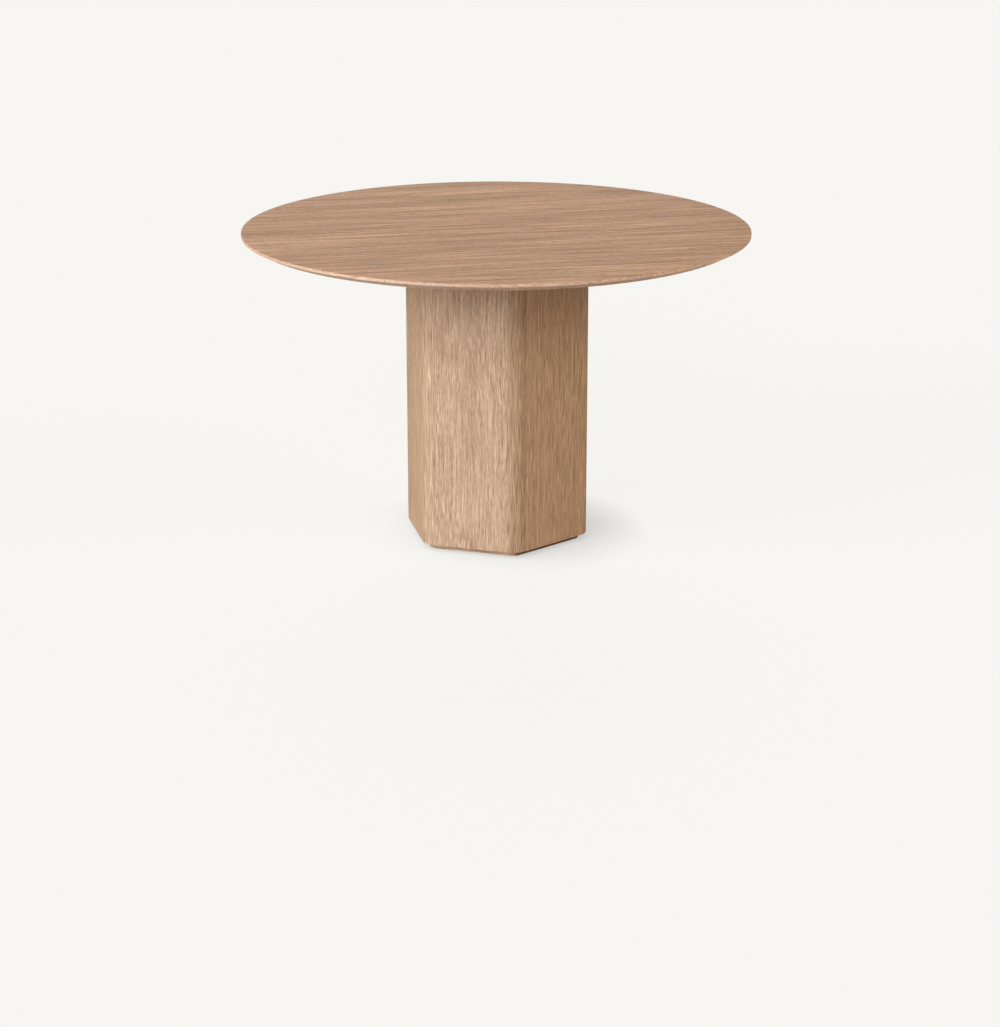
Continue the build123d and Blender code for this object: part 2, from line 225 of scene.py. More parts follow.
def oakMaterial(name, cut, along, outward, origin, boardNumber, tint=(1, 1, 1)):
    # along is the grain's direction, outward the direction from the pith, origin the middle of the board;
    # tint scales this board's red, green and blue against the average board: board tone, and on the boards
    # the lights reach unevenly also painted light and shade, set per side by how the lights fall on it
    material, tree, shader = newMaterial(name)
    along, outward = np.array(along, float), np.array(outward, float)
    axes = Matrix((along, np.cross(outward, along), outward))
    inLog = np.array((cut["boardShift"] * boardNumber, *cut["pith"]))
    shift = inLog - np.array(axes) @ np.array(origin, float)
    coordinates = addNode(tree, "TexCoord")
    board = addNode(tree, "Mapping", Vector=coordinates.outputs["Object"],
                    Rotation=axes.to_euler("XYZ"), Location=shift)
    slow = drawnOut(tree, board.outputs[0], *cut["drift"])
    drift = addNode(tree, "TexNoise", Vector=slow, Scale=1, Detail=1)
    centred = addNode(tree, "VectorMath", {"operation": "SUBTRACT"}, _0=drift.outputs["Color"],
                      _1=(0.5, 0.5, 0.5))
    bent = addNode(tree, "VectorMath", {"operation": "MULTIPLY_ADD"}, _0=centred.outputs[0],
                   _1=(0, cut["waver"] * 4, cut["waver"] * 4), _2=board.outputs[0]).outputs[0]
    rings = addNode(tree, "TexWave", {"wave_type": "RINGS", "rings_direction": "X", "wave_profile": "SAW"},
                    Vector=bent, Scale=math.pi / 10 / cut["ringSpacing"], Distortion=0.6,
                    Detail=2, Detail_Scale=1.5)
    total = sum(weight for _, _, weight in cut["streaks"]) + cut["ringWeight"]
    tone = addNode(tree, "Math", {"operation": "MULTIPLY_ADD"}, _0=rings.outputs["Fac"],
                   _1=cut["ringWeight"], _2=0.5 - total / 2)
    for length, width, weight in cut["streaks"]:
        noise = addNode(tree, "TexNoise", Vector=drawnOut(tree, bent, length, width), Scale=1, Detail=0.5)
        tone = addNode(tree, "Math", {"operation": "MULTIPLY_ADD"}, _0=noise.outputs[0], _1=weight,
                       _2=tone.outputs[0])
    dark, light, pore = ((*(np.array(linear(cut[key])[:3]) * tint), 1) for key in ("dark", "light", "pore"))
    colour = addNode(tree, "MixRGB", _0=tone.outputs[0], _1=dark, _2=light)
    dashNoise = addNode(tree, "TexNoise", Vector=drawnOut(tree, bent, *cut["poreSize"]), Scale=1, Detail=0.5)
    pores = addNode(tree, "MapRange", Value=dashNoise.outputs[0], From_Min=cut["poreLevels"][0],
                    From_Max=cut["poreLevels"][1])
    depth = addNode(tree, "Math", {"operation": "MULTIPLY"}, _0=pores.outputs[0], _1=cut["poreDepth"])
    porous = addNode(tree, "MixRGB", _0=depth.outputs[0], _1=colour.outputs[0], _2=pore)
    length, width, darkness = cut["marks"]
    markNoise = addNode(tree, "TexNoise", Vector=drawnOut(tree, bent, length, width), Scale=1, Detail=1)
    mark = addNode(tree, "MapRange", Value=markNoise.outputs[0], From_Min=cut["markLevels"][0],
                   From_Max=cut["markLevels"][1], To_Max=darkness)
    marked = addNode(tree, "MixRGB", _0=mark.outputs[0], _1=porous.outputs[0], _2=pore)
    height = addNode(tree, "Math", {"operation": "SUBTRACT"}, _0=tone.outputs[0], _1=depth.outputs[0])
    bump = addNode(tree, "Bump", Height=height.outputs[0], Strength=0.3, Distance=cut["relief"])
    rough = addNode(tree, "MapRange", Value=depth.outputs[0], To_Min=cut["roughness"],
                    To_Max=cut["roughness"] + cut["poreRoughness"])
    tree.links.new(marked.outputs[0], shader.inputs["Base Color"])
    tree.links.new(rough.outputs[0], shader.inputs["Roughness"])
    tree.links.new(bump.outputs[0], shader.inputs["Normal"])
    shader.inputs["IOR"].default_value = cut["ior"]
    shader.inputs["Specular IOR Level"].default_value = cut["specular"]
    return material


def finished(material, tree, shader, colour, roughness, height, distance, metallic=0.0, specular=0.5):
    # joins colour, roughness and height to the shader
    bump = addNode(tree, "Bump", Height=height, Strength=0.5, Distance=distance)
    tree.links.new(colour, shader.inputs["Base Color"])
    tree.links.new(roughness, shader.inputs["Roughness"])
    tree.links.new(bump.outputs[0], shader.inputs["Normal"])
    shader.inputs["Metallic"].default_value = metallic
    shader.inputs["Specular IOR Level"].default_value = specular
    return material


def mixColours(tree, amount, first, second):
    return addNode(tree, "MixRGB", _0=amount, _1=linear(first), _2=linear(second)).outputs[0]


# Black powder coat, sprayed and baked: an even orange peel that breaks up the highlights
powder = {"colour": "#202124", "worn": "#34353A", "cloudsPerMetre": 14, "peel": 1.3 * mm,
          "peelDepth": 0.06 * mm, "roughness": (0.42, 0.6)}


def powderMaterial():
    material, tree, shader = newMaterial("black_powder_coat")
    place = addNode(tree, "TexCoord").outputs["Object"]
    peel = addNode(tree, "TexNoise", Vector=place, Scale=1 / powder["peel"], Detail=1)
    cloud = addNode(tree, "TexNoise", Vector=place, Scale=powder["cloudsPerMetre"], Detail=3)
    rough = addNode(tree, "MapRange", Value=cloud.outputs[0], To_Min=powder["roughness"][0],
                    To_Max=powder["roughness"][1])
    colour = mixColours(tree, cloud.outputs[0], powder["colour"], powder["worn"])
    return finished(material, tree, shader, colour, rough.outputs[0], peel.outputs[0], powder["peelDepth"])


# Bright zinc plate on rolled or cold-headed steel: a cloudy silver with faint yellow and blue passivation
zinc = {"silver": "#B4B8BE", "yellow": "#BDB49C", "cloud": 9 * mm, "grain": 0.5 * mm,
        "grainDepth": 0.015 * mm, "roughness": (0.26, 0.46)}


def zincMaterial():
    material, tree, shader = newMaterial("zinc_plated_steel")
    place = addNode(tree, "TexCoord").outputs["Object"]
    cloud = addNode(tree, "TexNoise", Vector=place, Scale=1 / zinc["cloud"], Detail=4, Roughness=0.65)
    clouded = addNode(tree, "MapRange", Value=cloud.outputs[0], From_Min=0.35, From_Max=0.7)
    grain = addNode(tree, "TexNoise", Vector=place, Scale=1 / zinc["grain"], Detail=2)
    rough = addNode(tree, "MapRange", Value=clouded.outputs[0], To_Min=zinc["roughness"][0],
                    To_Max=zinc["roughness"][1])
    colour = mixColours(tree, clouded.outputs[0], zinc["silver"], zinc["yellow"])
    return finished(material, tree, shader, colour, rough.outputs[0], grain.outputs[0], zinc["grainDepth"],
                    metallic=1.0)


# Injection-moulded nylon from a spark-eroded tool: a fine even pitting and scuffs that dull the black
plastic = {"colour": "#17181A", "scuffed": "#3A3B3E", "scuffsPerMetre": 220, "pitting": 0.7 * mm,
           "pittingDepth": 0.03 * mm, "roughness": (0.45, 0.7)}


def nylonMaterial():
    material, tree, shader = newMaterial("moulded_nylon")
    place = addNode(tree, "TexCoord").outputs["Object"]
    pits = addNode(tree, "TexVoronoi", Vector=place, Scale=1 / plastic["pitting"])
    scuff = addNode(tree, "TexNoise", Vector=place, Scale=plastic["scuffsPerMetre"], Detail=5, Roughness=0.7)
    worn = addNode(tree, "MapRange", Value=scuff.outputs[0], From_Min=0.55, From_Max=0.75)
    rough = addNode(tree, "MapRange", Value=worn.outputs[0], To_Min=plastic["roughness"][0],
                    To_Max=plastic["roughness"][1])
    colour = mixColours(tree, worn.outputs[0], plastic["colour"], plastic["scuffed"])
    return finished(material, tree, shader, colour, rough.outputs[0], pits.outputs["Distance"],
                    plastic["pittingDepth"])


# Wood-fibre board, pressed from fine fibres: brown with paler and darker flecks and a soft nap
fibre = {"dark": "#7D6243", "light": "#B59A74", "cloudsPerMetre": 40, "fleck": 2.2 * mm, "fleckShare": 0.45,
         "nap": 0.6 * mm, "napDepth": 0.12 * mm, "roughness": (0.78, 0.92)}


def fibreMaterial():
    material, tree, shader = newMaterial("wood_fibre_board")
    place = addNode(tree, "TexCoord").outputs["Object"]
    flecks = addNode(tree, "TexVoronoi", Vector=place, Scale=1 / fibre["fleck"])
    fleckShade = addNode(tree, "SeparateColor", Color=flecks.outputs["Color"])
    cloud = addNode(tree, "TexNoise", Vector=place, Scale=fibre["cloudsPerMetre"], Detail=4)
    shade = addNode(tree, "Mix", Factor=fibre["fleckShare"], A=cloud.outputs[0], B=fleckShade.outputs[0])
    nap = addNode(tree, "TexNoise", Vector=place, Scale=1 / fibre["nap"], Detail=2)
    rough = addNode(tree, "MapRange", Value=cloud.outputs[0], To_Min=fibre["roughness"][0],
                    To_Max=fibre["roughness"][1])
    colour = mixColours(tree, shade.outputs[0], fibre["dark"], fibre["light"])
    return finished(material, tree, shader, colour, rough.outputs[0], nap.outputs[0], fibre["napDepth"],
                    specular=0.15)


# Steamed beech, planed: pinkish brown with short dark flecks along the grain, which runs the given way
beechWood = {"dark": "#A87A57", "light": "#D6AE88", "fleck": (3 * mm, 0.6 * mm), "figure": (120 * mm, 9 * mm),
             "fleckDepth": 0.05 * mm, "roughness": (0.5, 0.65)}


def beechMaterial(name, stretch):
    # stretch picks the axis the grain follows, as 1 there and 0 on the other two
    material, tree, shader = newMaterial(name)
    place = addNode(tree, "TexCoord").outputs["Object"]
    grains = []
    for length, width in (beechWood["fleck"], beechWood["figure"]):
        scale = tuple(1 / (length if axis else width) for axis in stretch)
        drawn = addNode(tree, "Mapping", Vector=place, Scale=scale)
        grains.append(addNode(tree, "TexNoise", Vector=drawn.outputs[0], Scale=1, Detail=2))
    flecks = addNode(tree, "MapRange", Value=grains[0].outputs[0], From_Min=0.42, From_Max=0.62)
    shade = addNode(tree, "Mix", Factor=0.5, A=flecks.outputs[0], B=grains[1].outputs[0])
    rough = addNode(tree, "MapRange", Value=grains[1].outputs[0], To_Min=beechWood["roughness"][0],
                    To_Max=beechWood["roughness"][1])
    colour = mixColours(tree, shade.outputs[0], beechWood["dark"], beechWood["light"])
    return finished(material, tree, shader, colour, rough.outputs[0], flecks.outputs[0],
                    beechWood["fleckDepth"], specular=0.25)


# Birch plywood: pale faces with a wavy figure, and on the sawn edges a stripe for each ply
birch = {"dark": "#B08E64", "light": "#DFC6A0", "glueLine": "#8A6947", "glueShare": 0.1, "ply": 1.4 * mm,
         "figure": (180 * mm, 12 * mm), "fibresPerMetre": 600, "fibreDepth": 0.05 * mm,
         "roughness": (0.6, 0.75)}


def plywoodMaterial():
    material, tree, shader = newMaterial("birch_plywood")
    coordinates = addNode(tree, "TexCoord")
    place = coordinates.outputs["Object"]
    figure = addNode(tree, "TexNoise", Vector=drawnOut(tree, place, *birch["figure"]), Scale=1, Detail=3,
                     Distortion=0.6)
    faceShade = addNode(tree, "MapRange", Value=figure.outputs[0], From_Min=0.35, From_Max=0.65)
    apart = addNode(tree, "SeparateXYZ", Vector=place)
    plies = addNode(tree, "Math", {"operation": "MULTIPLY"}, _0=apart.outputs["Z"], _1=1 / birch["ply"])
    within = addNode(tree, "Math", {"operation": "FRACT"}, _0=plies.outputs[0])
    half = addNode(tree, "Math", {"operation": "MULTIPLY"}, _0=plies.outputs[0], _1=0.5)
    turnAbout = addNode(tree, "Math", {"operation": "FRACT"}, _0=half.outputs[0])
    crossed = addNode(tree, "Math", {"operation": "GREATER_THAN"}, _0=turnAbout.outputs[0], _1=0.5)
    fibres = addNode(tree, "TexNoise", Vector=place, Scale=birch["fibresPerMetre"], Detail=2)
    edgeShade = addNode(tree, "Mix", Factor=0.6, A=fibres.outputs[0], B=crossed.outputs[0])
    glued = addNode(tree, "Math", {"operation": "GREATER_THAN"}, _0=within.outputs[0],
                    _1=1 - birch["glueShare"])
    normal = addNode(tree, "SeparateXYZ", Vector=coordinates.outputs["Normal"])
    level = addNode(tree, "Math", {"operation": "ABSOLUTE"}, _0=normal.outputs["Z"])
    isFace = addNode(tree, "Math", {"operation": "GREATER_THAN"}, _0=level.outputs[0], _1=0.5)
    face = mixColours(tree, faceShade.outputs[0], birch["dark"], birch["light"])
    plain = mixColours(tree, edgeShade.outputs[0], birch["dark"], birch["light"])
    striped = addNode(tree, "MixRGB", _0=glued.outputs[0], _1=plain, _2=linear(birch["glueLine"]))
    colour = addNode(tree, "MixRGB", _0=isFace.outputs[0], _1=striped.outputs[0], _2=face)
    rough = addNode(tree, "MapRange", Value=figure.outputs[0], To_Min=birch["roughness"][0],
                    To_Max=birch["roughness"][1])
    return finished(material, tree, shader, colour.outputs[0], rough.outputs[0], fibres.outputs[0],
                    birch["fibreDepth"], specular=0.25)


blackCoat, zincPlate, nylon, fibreBoard = powderMaterial(), zincMaterial(), nylonMaterial(), fibreMaterial()
beech, plywood = beechMaterial("beech", (0, 0, 1)), plywoodMaterial()
cadFinish = {"black_steel": blackCoat, "zinc_steel": zincPlate, "foot_nylon": nylon,
             "core_board": fibreBoard, "beech_dowel": beech, "birch_plywood": plywood}
for subpart in frame["record"]["subparts"]:
    if subpart["material_slot"] in cadFinish:
        for materialSlot in cadNodes[subpart["node"]].material_slots:
            materialSlot.material = cadFinish[subpart["material_slot"]]
print("materials made")


top = {"arris": 0.4 * mm, "steps": 768, "arcPoints": 6, "innerRings": (0.8, 0.6, 0.4, 0.2, 0),
       "tint": (1.09, 0.99, 0.88)}


def makeTop():
    radius, low, high = topHigh.x, topLow.z, topHigh.z
    profile = roundedProfile([(0, low), (radius, low), (radius, high), (0, high)],
                             [0, 0, top["arris"], 0], top["arcPoints"])
    material = oakMaterial("oak_veneer_top", topCut, (1, 0, 0), (0, 0, 1), (0, 0, high), 0, top["tint"])
    rings = [(radius * share, high) for share in top["innerRings"]]
    profile = np.concatenate([profile[:-1], rings])
    addPiece("top_face_veneer", [(turned(profile[:, :1], profile[:, 1:], steps=top["steps"]), False)],
             material, "table", "top_veneer")
    backing = oakMaterial("oak_veneer_backing", topCut, (1, 0, 0), (0, 0, -1), (0, 0, backingLow.z), 1,
                          top["tint"])
    cadNodes["backing_veneer"].material_slots[0].material = backing


makeTop()

edge = {"nose": 6.5 * mm, "noseRounding": 1.5 * mm, "footRounding": 1 * mm, "steps": 96, "arcPoints": 6,
        "firstBoard": 20,
        # one multiplier for each lipping segment, 1.27 to 1.55 times the average board: partly a lighter
        # solid oak, mostly a painted highlight, brightest and coolest where the key light catches the rim and
        # bright again where the fill and back lights catch it
        "toneAndPaintedLight": ((1.34, 1.32, 1.34), (1.3, 1.26, 1.26), (1.4, 1.38, 1.42), (1.28, 1.26, 1.3),
                  (1.36, 1.32, 1.33), (1.36, 1.42, 1.55), (1.28, 1.27, 1.33), (1.55, 1.52, 1.52))}


def makeLipping(i):
    # the outline's outer corners keep their radius, and its inner edge is a straight line across the segment
    radius, low, high = topHigh.x, lippingLow.z, lippingHigh.z
    apothem, foot = lippingLow.x, backingHigh.x
    corners = [(apothem, low), (foot, low), (radius, high - edge["nose"]), (radius, high), (apothem, high)]
    radii = [0, edge["footRounding"], edge["noseRounding"], 0, 0]
    outline = roundedProfile(corners, radii, edge["arcPoints"])
    angle = np.linspace(-segmentAngle / 2, segmentAngle / 2, edge["steps"])[:, None]
    reach = np.where(outline[None, :, 0] <= apothem + 1e-9, apothem / np.cos(angle), outline[None, :, 0])
    heights = np.broadcast_to(outline[None, :, 1], reach.shape)
    points = np.stack([reach * np.cos(angle), reach * np.sin(angle), heights], -1)
    middle = i * segmentAngle
    out, along = (math.cos(middle), math.sin(middle), 0), (-math.sin(middle), math.cos(middle), 0)
    origin = (radius * out[0], radius * out[1], high)
    # the segment's colour carries the painted highlight set in the edge table
    material = oakMaterial(f"solid_oak_lipping_{i + 1}", riftCut, along, out, origin, edge["firstBoard"] + i,
                           edge["toneAndPaintedLight"][i])
    addPiece(f"lipping_segment_{i + 1}", [(turn(points, middle), False)], material, "table",
             f"edge_lipping_{i + 1}")


for i in range(segments):
    makeLipping(i)
print("top made")


column = {
    "cornerRadius": 42 * mm,
    "arris": 0.3 * mm,
    "grooveWidth": 4 * mm,
    "grooveDepth": 8.5 * mm,
    "arcPoints": 24,
    "grainMiddle": 0.4,  # the height that the grain is drawn about
    "riftPanels": (1, 5),
    "firstPanelBoard": 3,
    "firstPostBoard": 10,
    # tone of each board, with painted light and shade in it: the fifth panel, at the front, and the fourth
    # post, where the cool key light falls, are cooler, the post also brighter; the fifth post, between front
    # and right, is darker as painted shade; the sixth panel and sixth post, where the warm fill falls, are
    # warmer, the post also brighter
    "panelToneAndPaintedLight": ((1.0, 1.0, 0.94), (1.04, 1.0, 0.91), (0.98, 1.0, 0.97), (1.06, 1.02, 0.94),
                   (0.99, 1.03, 1.04), (1.07, 1.01, 0.88)),
    "postToneAndPaintedLight": ((1.0, 0.98, 0.94), (0.95, 0.92, 0.87), (1.03, 1.01, 0.97), (1.04, 1.09, 1.11),
                  (0.89, 0.86, 0.79), (1.12, 1.02, 0.88)),
}


def makePanel(i):
    half, thickness = panelHigh.y, panelHigh.x - panelLow.x
    a, g, d = column["arris"], column["grooveWidth"] / 2, column["grooveDepth"]
    outer, inner, middle = panelHigh.x, panelLow.x, panelHigh.x - thickness / 2
    right = [(outer, half), (middle + g, half), (middle + g, half - d), (middle - g, half - d),
             (middle - g, half), (inner, half)]
    left = [(x, -y) for x, y in right]
    section = roundedProfile(left[:1] + right + left[:0:-1], [a, a] + [0] * 10, 4)
    angle = i * sideAngle
    out = (math.cos(angle), math.sin(angle), 0)
    cut = riftCut if i in column["riftPanels"] else crownCut
    origin = (outer * out[0], outer * out[1], column["grainMiddle"])
    # the panel's colour carries painted light and shade from its entry in the column table
    material = oakMaterial(f"oak_veneer_panel_{i + 1}", cut, (0, 0, 1), out, origin,
                           column["firstPanelBoard"] + i, column["panelToneAndPaintedLight"][i])
    addPiece(f"column_panel_{i + 1}", [(turn(upright(section, (panelLow.z, panelHigh.z)), angle), False)],
             material, "table", f"side_panel_{i + 1}")


def makePost(i):
    halfSide = sideAngle / 2
    outer, half, thickness = panelHigh.x, panelHigh.y, panelHigh.x - panelLow.x
    corner = outer / math.cos(halfSide)
    reach = outer * math.tan(halfSide) - half
    along = np.array([-math.sin(halfSide), math.cos(halfSide)])
    inward = np.array([-math.cos(halfSide), -math.sin(halfSide)])
    tip, outside = np.array([corner, 0]), np.array([corner, 0]) + reach * along
    inside = outside + thickness * inward
    g, d = column["grooveWidth"] / 2, column["grooveDepth"]
    grooveOut, grooveIn = outside + (thickness / 2 - g) * inward, outside + (thickness / 2 + g) * inward
    upper = [tip, outside, grooveOut, grooveOut - d * along, grooveIn - d * along, grooveIn, inside]
    lower = [point * (1, -1) for point in upper[:0:-1]]
    radii = [column["cornerRadius"], column["arris"]] + [0] * 10 + [column["arris"]]
    section = roundedProfile(upper + lower, radii, column["arcPoints"])
    angle = (i + 0.5) * sideAngle
    out = (math.cos(angle), math.sin(angle), 0)
    origin = (corner * out[0], corner * out[1], column["grainMiddle"])
    # the post's colour carries painted light and shade from its entry in the column table
    material = oakMaterial(f"solid_oak_post_{i + 1}", postCut, (0, 0, 1), out, origin,
                           column["firstPostBoard"] + i, column["postToneAndPaintedLight"][i])
    addPiece(f"column_post_{i + 1}", [(turn(upright(section, (panelLow.z, panelHigh.z)), angle), False)],
             material, "table", f"corner_post_{i + 1}")


for i in range(sides):
    makePanel(i)
    makePost(i)
print("column made")


plinth = {"cornerRadius": 24 * mm, "arcPoints": 12, "firstBoard": 30,
          # tone of each strip; the sixth, facing right on the shadow side, is darkened to about 0.55 as
          # painted shade of the recess under the column
          "toneAndPaintedLight": ((0.9, 0.86, 0.8), (1.0, 0.95, 0.9), (0.85, 0.8, 0.74), (0.95, 0.9, 0.85),
                    (0.97, 0.95, 0.93), (0.6, 0.53, 0.47))}


def makeStrip(i):
    halfSide = sideAngle / 2
    outer, inner, rounding = stripHigh.x, stripLow.x, plinth["cornerRadius"]
    # the outer corner is rounded about a centre on the mitre, so each strip carries half of the rounding
    centre = np.array([outer - rounding, (outer - rounding) * math.tan(halfSide)])
    arc = np.linspace(0, halfSide, plinth["arcPoints"])[:, None]
    rounded = centre + rounding * np.concatenate([np.cos(arc), np.sin(arc)], 1)
    half = np.concatenate([rounded, [[inner, inner * math.tan(halfSide)]]])
    section = np.concatenate([half, half[::-1] * (1, -1)])
    angle = i * sideAngle
    out, along = (math.cos(angle), math.sin(angle), 0), (-math.sin(angle), math.cos(angle), 0)
    origin = (outer * out[0], outer * out[1], 0)
    # the strip's colour carries the painted shade set in the plinth table
    material = oakMaterial(f"solid_oak_plinth_{i + 1}", riftCut, along, out, origin, plinth["firstBoard"] + i,
                           plinth["toneAndPaintedLight"][i])
    addPiece(f"plinth_edge_{i + 1}", [(turn(upright(section, (stripLow.z, stripHigh.z)), angle), False)],
             material, "table", f"plinth_strip_{i + 1}")


for i in range(sides):
    makeStrip(i)
print("plinth made")


def ringPlaces(node, reach, count):
    # middles of pieces spaced evenly round the axis from +X; reach is from the first to the node's far side
    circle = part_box(node)[1].x - reach
    return list(zip(circle * np.cos(around(count)), circle * np.sin(around(count))))


def span(node):
    # lowest and highest point of a node
    low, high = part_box(node)
    return low.z, high.z


def thread(radius, depth, pitch, low, high, steps, rowsPerTurn=8):
    # a screw thread: the radius rises and falls once in each pitch, the crest climbs one pitch in each turn,
    # and the thread fades in and out over one pitch at both ends
    height = np.arange(low, high, pitch / rowsPerTurn)[:, None]
    phase = (height / pitch - around(steps)[None, :] / (2 * math.pi)) % 1
    ease = np.clip(np.minimum(height - low, high - height) / pitch, 0, 1)
    return radius - depth * (1 - ease * np.abs(2 * phase - 1)), np.broadcast_to(height, phase.shape)


def downwards(rows):
    # a thread's rows from the highest to the lowest, for an inner surface
    radius, height = rows
    return radius[::-1], height[::-1]


def stack(rows, steps):
    # a profile as rows of (radius, height), each one number, one for each angle, or a whole thread of rows
    parts = []
    for radius, height in rows:
        radius, height = np.broadcast_arrays(np.atleast_2d(radius), np.atleast_2d(height))
        shape = (len(radius), steps)
        parts.append((np.broadcast_to(radius, shape), np.broadcast_to(height, shape)))
    return np.concatenate([r for r, h in parts]), np.concatenate([h for r, h in parts])


def addTurned(name, rows, steps, material, body, node, places=((0, 0),), ring=False):
    # the same turned piece at each place
    radius, height = stack(rows, steps)
    return addPiece(name, [(turned(radius, height, place, steps), ring) for place in places], material, body,
                    node)


rod = {"radius": 6 * mm, "pitch": 1.75 * mm, "threadDepth": 1 * mm, "lowThread": 45 * mm,
       "highThread": 30 * mm, "chamfer": 1 * mm, "tipCut": 1.5 * mm, "steps": 40}


def makeRod():
    # rolled threads at both ends, plain between them
    low, high = span("tie_rod")
    r, depth, pitch = rod["radius"], rod["threadDepth"], rod["pitch"]
    cut, steps = rod["chamfer"], rod["steps"]
    tip, lowEnd, highStart = r - rod["tipCut"], low + rod["lowThread"], high - rod["highThread"]
    rows = [(0, low), (tip, low), thread(r, depth, pitch, low + cut, lowEnd, steps), (r, lowEnd + cut),
            (r, highStart - cut), thread(r, depth, pitch, highStart, high - cut, steps), (tip, high),
            (0, high)]
    addTurned("rod_m12", rows, steps, zincPlate, "table", "tie_rod")


makeRod()

nut = {"flats": 19 * mm, "chamfer": 1 * mm, "chamferShare": 0.97, "play": 0.05 * mm, "mouth": 0.4 * mm,
       "steps": 120}


def makeNut():
    # both faces chamfered, and a thread in step with the rod's
    low, high = span("rod_nut")
    cut, steps, mouth = nut["chamfer"], nut["steps"], rod["radius"] + nut["mouth"]
    hexed = hexagon(nut["flats"], around(steps))
    faceEdge = np.minimum(hexed, nut["flats"] / 2) * nut["chamferShare"]
    inner = thread(rod["radius"] + nut["play"], rod["threadDepth"], rod["pitch"], low + cut, high - cut,
                   steps)
    rows = [(mouth, low), (faceEdge, low), (hexed, low + cut), (hexed, high - cut), (faceEdge, high),
            (mouth, high), downwards(inner)]
    addTurned("nut_m12", rows, steps, zincPlate, "table", "rod_nut", ring=True)


makeNut()

washer = {"bore": 6.5 * mm, "edgeRounding": 0.4 * mm, "arcPoints": 4, "steps": 96}


def makeWasher():
    low, high = span("rod_washer")
    outer, bore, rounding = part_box("rod_washer")[1].x, washer["bore"], washer["edgeRounding"]
    profile = roundedProfile([(bore, low), (outer, low), (outer, high), (bore, high)],
                             [0, rounding, rounding, 0], washer["arcPoints"])
    addTurned("washer_m12", profile, washer["steps"], zincPlate, "table", "rod_washer",
              ring=True)


makeWasher()

plateScrew = {"head": 6 * mm, "shank": 2.95 * mm, "pitch": 1 * mm, "threadDepth": 0.5 * mm, "neck": 4 * mm,
              "point": 0.5 * mm, "recessDepth": 2.2 * mm, "count": 8, "steps": 36}
plateScrew["recess"] = hexagon(4 * mm, around(plateScrew["steps"]))  # takes a 4 mm key
woodScrew = {"head": 5 * mm, "shank": 2.5 * mm, "pitch": 2.4 * mm, "threadDepth": 0.8 * mm, "neck": 11 * mm,
             "point": 4 * mm, "recessDepth": 2.2 * mm, "count": 6, "steps": 36}
woodScrew["recess"] = 1.9 * mm + 0.3 * mm * np.cos(6 * around(woodScrew["steps"]))  # six lobes
countersunk = {"rim": 0.3 * mm, "recessTaper": 0.9, "recessStraight": 0.8, "tipShare": 0.3}


def makeScrews(name, node, screw):
    # countersunk, head down: recess, rim, cone, plain neck, thread and tip
    low, high = span(node)
    head, shank, recess, depth = screw["head"], screw["shank"], screw["recess"], screw["recessDepth"]
    rim, neckEnd = countersunk["rim"], low + screw["neck"]
    rows = [(0, low + depth), (recess * countersunk["recessTaper"], low + depth),
            (recess, low + depth * countersunk["recessStraight"]), (recess, low), (head - rim, low),
            (head, low + rim), (shank, low + head - shank), (shank, neckEnd),
            thread(shank, screw["threadDepth"], screw["pitch"], neckEnd, high - screw["point"],
                   screw["steps"]),
            (shank * countersunk["tipShare"], high), (0, high)]
    addTurned(name, rows, screw["steps"], zincPlate, "table", node,
              ringPlaces(node, head, screw["count"]))


makeScrews("plate_screws", "top_screws", plateScrew)
makeScrews("plinth_wood_screws", "plinth_screws", woodScrew)

coach = {"radius": 5 * mm, "flats": 17 * mm, "thread": 20 * mm, "pitch": 3.5 * mm, "threadDepth": 1.2 * mm,
         "point": 4 * mm, "tip": 1 * mm, "chamfer": 0.8 * mm, "count": 3, "firstAngle": 30, "steps": 48}


def makeCoachScrews():
    # coarse thread with a point, plain shank, hexagon head chamfered on top
    low, high = span("ballast_screws")
    headLow = span("ballast_disc_2")[1]
    r, steps, threadEnd = coach["radius"], coach["steps"], low + coach["thread"]
    firstAngle = math.radians(coach["firstAngle"])  # each head has a corner pointing outwards
    hexed = hexagon(coach["flats"], around(steps) - firstAngle)
    crown = np.minimum(hexed, coach["flats"] / 2) * nut["chamferShare"]
    rows = [(0, low), (coach["tip"], low),
            thread(r, coach["threadDepth"], coach["pitch"], low + coach["point"], threadEnd, steps),
            (r, threadEnd), (r, headLow), (hexed, headLow), (hexed, high - coach["chamfer"]), (crown, high),
            (0, high)]
    circle = -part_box("ballast_screws")[0].y - coach["flats"] / 2 / math.cos(firstAngle)
    angle = around(coach["count"]) + firstAngle
    places = list(zip(circle * np.cos(angle), circle * np.sin(angle)))
    addTurned("coach_screws", rows, steps, zincPlate, "table", "ballast_screws", places)


makeCoachScrews()

pad = {"ribs": 36, "ribDepth": 0.35 * mm, "ribLead": 0.3 * mm, "rounding": 1.5 * mm, "play": 0.02 * mm,
       "hollow": 4.5 * mm, "hollowDepth": 0.5 * mm, "arcPoints": 5, "steps": 144}
stud = {"radius": 5 * mm, "pitch": 1.5 * mm, "threadDepth": 0.8 * mm, "flats": 17 * mm, "chamfer": 0.7 * mm,
        "crownPlay": 0.2 * mm, "collarGap": 0.3 * mm, "undercut": 0.5 * mm, "tipLength": 1 * mm,
        "tipCut": 1.2 * mm, "steps": 48}


def footCentre(i):
    low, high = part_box(f"foot_pad_{i}")
    return (low.x + high.x) / 2, (low.y + high.y) / 2


